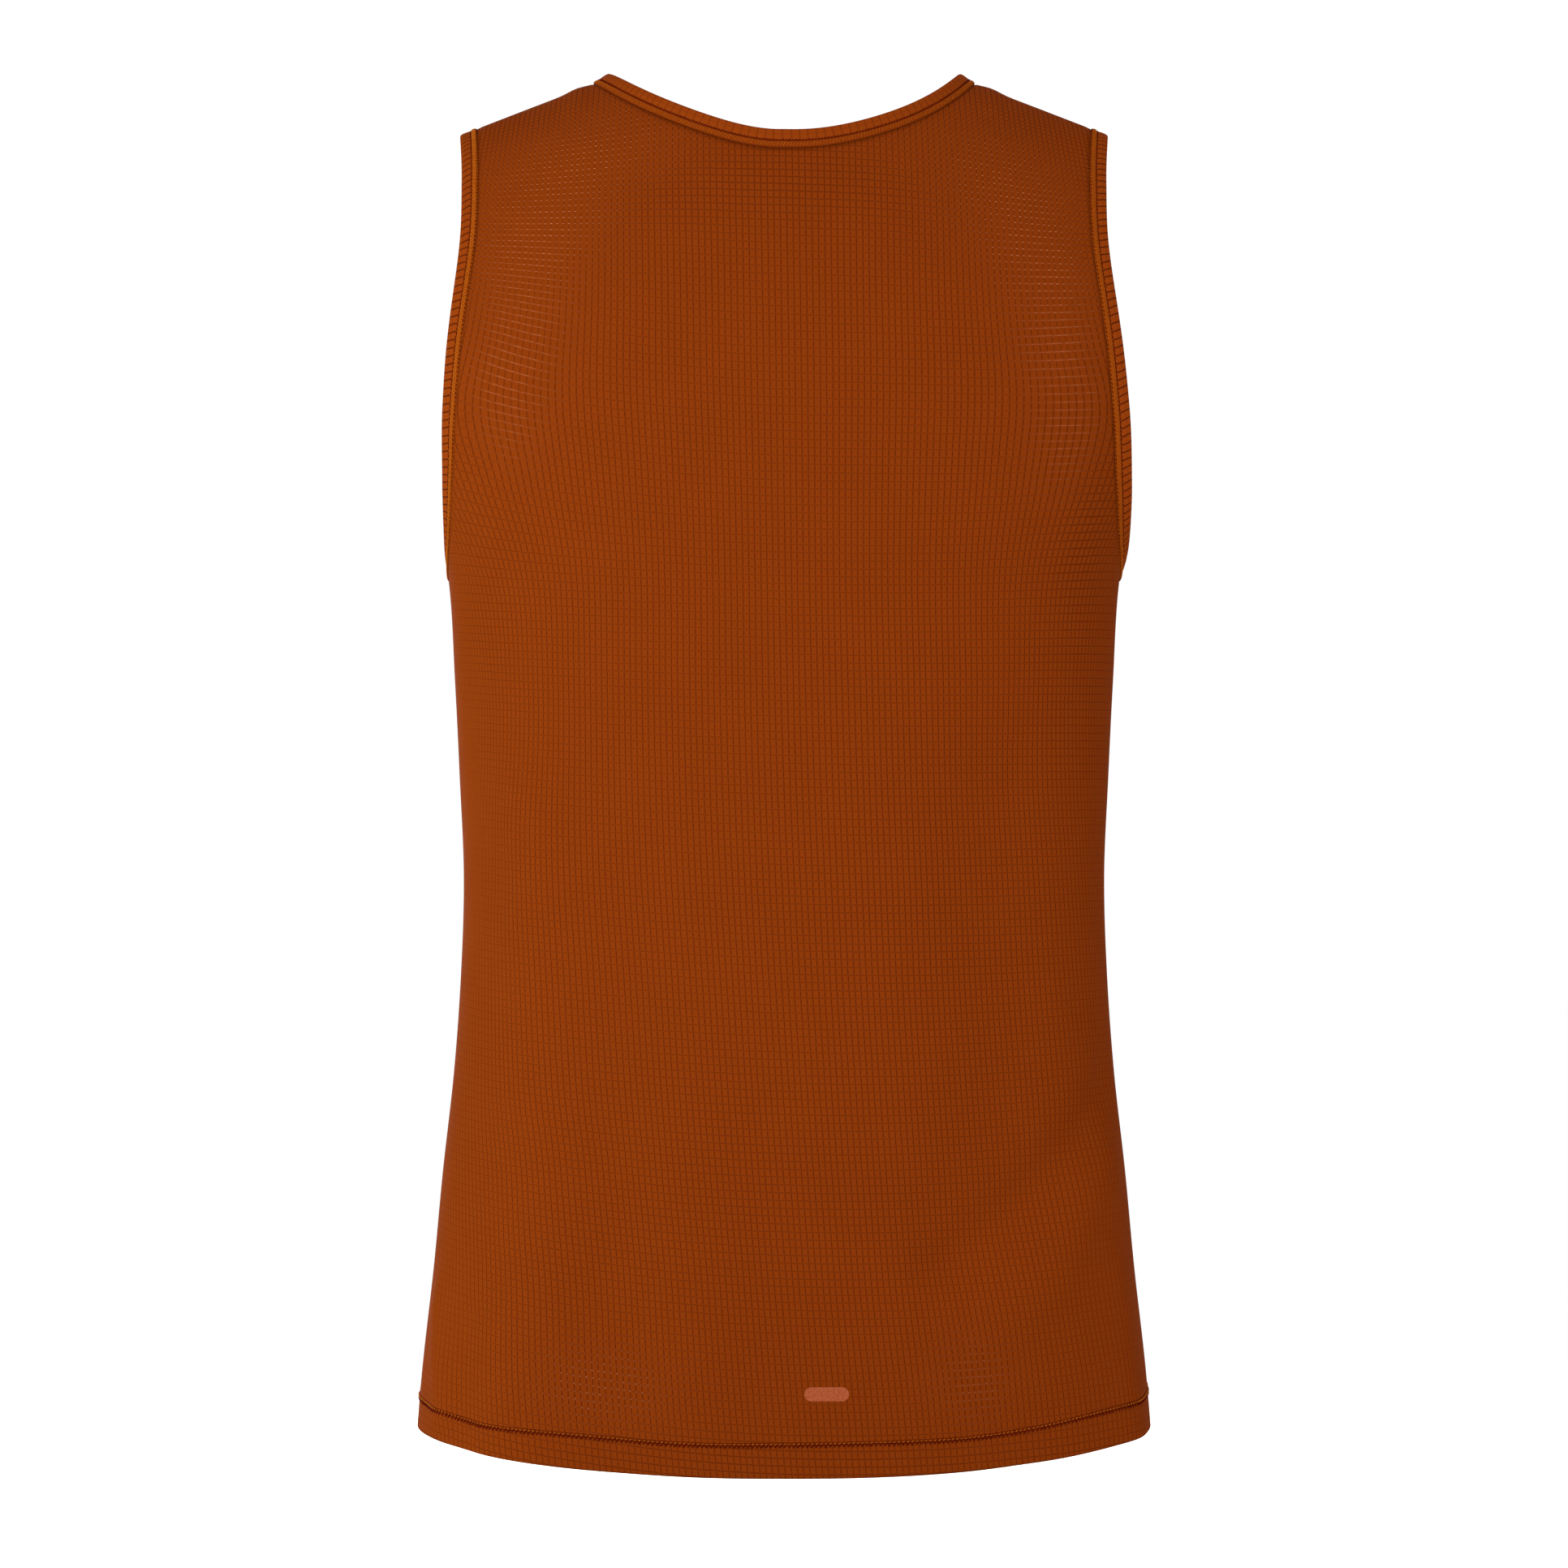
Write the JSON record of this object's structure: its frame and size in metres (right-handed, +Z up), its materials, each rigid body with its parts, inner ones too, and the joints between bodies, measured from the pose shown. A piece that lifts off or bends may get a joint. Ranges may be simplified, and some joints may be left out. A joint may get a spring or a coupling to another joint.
{
  "type": "base layer vest",
  "caption": "Sleeveless base layer vest of grid knit in its worn, hollow form, with bound neck and armholes and a turned-up hem, open at neck, arms and hem.",
  "frame": {"origin": "midway between the two high shoulder points, at the height where the vest hangs from the wearer's shoulders", "axes": "+Z up, +X towards the wearer's left, the wearer facing -Y, so the back panel is on the +Y side"},
  "size_m": [0.3652, 0.2292, 0.6889],
  "materials": {
    "grid_knit_back": "matt burnt orange grid knit",
    "grid_knit_front": "matt burnt orange grid knit",
    "neck_binding_knit": "folded strip of the same knit, coverstitched",
    "armhole_binding_knit": "folded strip of the same knit, coverstitched"
  },
  "bodies": {
    "root": {"back_panel": "grid_knit_back", "front_panel": "grid_knit_front", "neck_binding": "neck_binding_knit", "armhole_binding_left": "armhole_binding_knit", "armhole_binding_right": "armhole_binding_knit"}
  },
  "joints": []
}
